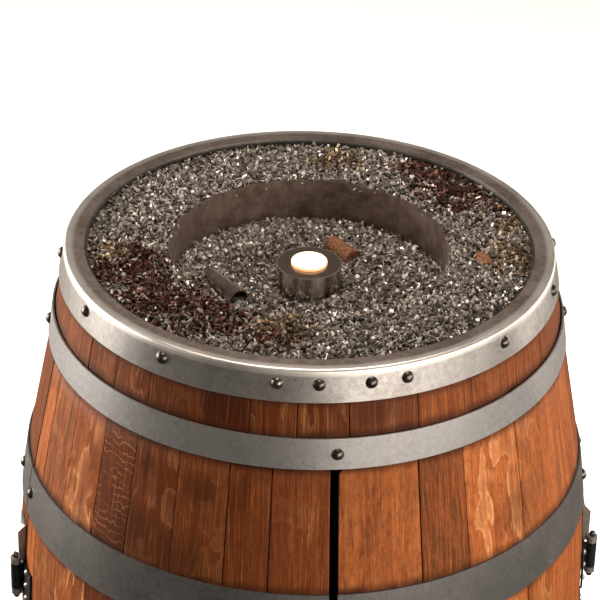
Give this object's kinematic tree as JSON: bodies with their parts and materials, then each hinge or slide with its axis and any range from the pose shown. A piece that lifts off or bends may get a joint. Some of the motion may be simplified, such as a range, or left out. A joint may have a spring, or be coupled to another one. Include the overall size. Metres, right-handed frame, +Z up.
{
  "type": "barrel cabinet",
  "caption": "Upright wooden barrel cabinet with steel hoops, two curved front doors and a display well of metal chips round a small lamp on top.",
  "frame": {"origin": "centre of the foot hoop's underside, on the floor", "axes": "+Z up, -Y towards the doors at the front, +X to the right as seen from the front"},
  "size_m": [0.7324, 0.7462, 0.95],
  "materials": {
    "oak": "waxed old oak staves",
    "inside_wood": "plain dark wood",
    "rim_steel": "worn bright steel",
    "hoop_steel": "galvanised, mottled",
    "rivet_steel": "dark worn steel",
    "hinge_plate_steel": "galvanised plate",
    "pin_steel": "dark polished steel",
    "forged_iron": "blackened",
    "screw_steel": "zinc plated",
    "pan_steel": "bare pressed sheet",
    "ring_steel": "dark bronze brown",
    "chip_metal": "loose bright turnings, some rusty",
    "lamp_steel": "brushed dark steel",
    "lamp_plastic": "black",
    "cell_metal": "grey sleeve",
    "board_plastic": "circuit board",
    "lens_plastic": "opal, lit warm white",
    "tube_steel": "dark steel",
    "cork": "natural cork",
    "magnet_steel": "nickel plated"
  },
  "bodies": {
    "barrel": {"back_shelf_cleat": "inside_wood", "bottom_head": "inside_wood", "catch_magnets": "magnet_steel", "cleat_screws": "screw_steel", "display_tube": "tube_steel", "foot_hoop": "rim_steel", "foot_rivets": "rivet_steel", "footer_staves": "oak", "header_staves": "oak", "hinge_pins": "pin_steel", "hinge_screws": "screw_steel", "hoop_rivets": "rivet_steel", "lamp_base": "lamp_plastic", "lamp_cells": "cell_metal", "lamp_housing": "lamp_steel", "lamp_light_board": "board_plastic", "left_lower_hinge_barrel_leaf": "hinge_plate_steel", "left_shelf_cleat": "inside_wood", "left_upper_hinge_barrel_leaf": "hinge_plate_steel", "lower_quarter_hoop": "hoop_steel", "outer_chip_bed": "chip_metal", "rear_lower_bilge_hoop": "hoop_steel", "rear_staves": "oak", "rear_upper_bilge_hoop": "hoop_steel", "right_lower_hinge_barrel_leaf": "hinge_plate_steel", "right_shelf_cleat": "inside_wood", "right_upper_hinge_barrel_leaf": "hinge_plate_steel", "rim_hoop": "rim_steel", "rim_rivets": "rivet_steel", "shelf": "inside_wood", "short_cork": "cork", "top_head": "inside_wood", "top_pan": "pan_steel", "upper_quarter_hoop": "hoop_steel", "well_chip_bed": "chip_metal", "well_ring": "ring_steel", "whole_cork": "cork"},
    "lamp_lens": {"lamp_lens": "lens_plastic"},
    "left_door": {"left_door_handle": "forged_iron", "left_door_handle_bolts": "screw_steel", "left_door_lower_hoop": "hoop_steel", "left_door_ribs": "inside_wood", "left_door_rivets": "rivet_steel", "left_door_screws": "screw_steel", "left_door_staves": "oak", "left_door_strike_plate": "screw_steel", "left_door_upper_hoop": "hoop_steel", "left_lower_hinge_door_leaf": "forged_iron", "left_upper_hinge_door_leaf": "forged_iron"},
    "right_door": {"right_door_handle": "forged_iron", "right_door_handle_bolts": "screw_steel", "right_door_lower_hoop": "hoop_steel", "right_door_ribs": "inside_wood", "right_door_rivets": "rivet_steel", "right_door_screws": "screw_steel", "right_door_staves": "oak", "right_door_strike_plate": "screw_steel", "right_door_upper_hoop": "hoop_steel", "right_lower_hinge_door_leaf": "forged_iron", "right_upper_hinge_door_leaf": "forged_iron"}
  },
  "joints": [
    {"name": "left_door_hinge", "type": "hinge", "parent": "barrel", "child": "left_door", "pos_m": [-0.35973, -0.06181, 0.475], "axis": [0, 0, -1], "range_deg": [0, 120]},
    {"name": "right_door_hinge", "type": "hinge", "parent": "barrel", "child": "right_door", "pos_m": [0.35973, -0.06181, 0.475], "axis": [0, 0, 1], "range_deg": [0, 120]},
    {"name": "lamp_lens_press", "type": "slide", "parent": "barrel", "child": "lamp_lens", "axis": [0, 0, -1], "range_m": [0, 0.002], "stiffness_N_per_m": 600, "springref_m": -0.001}
  ]
}
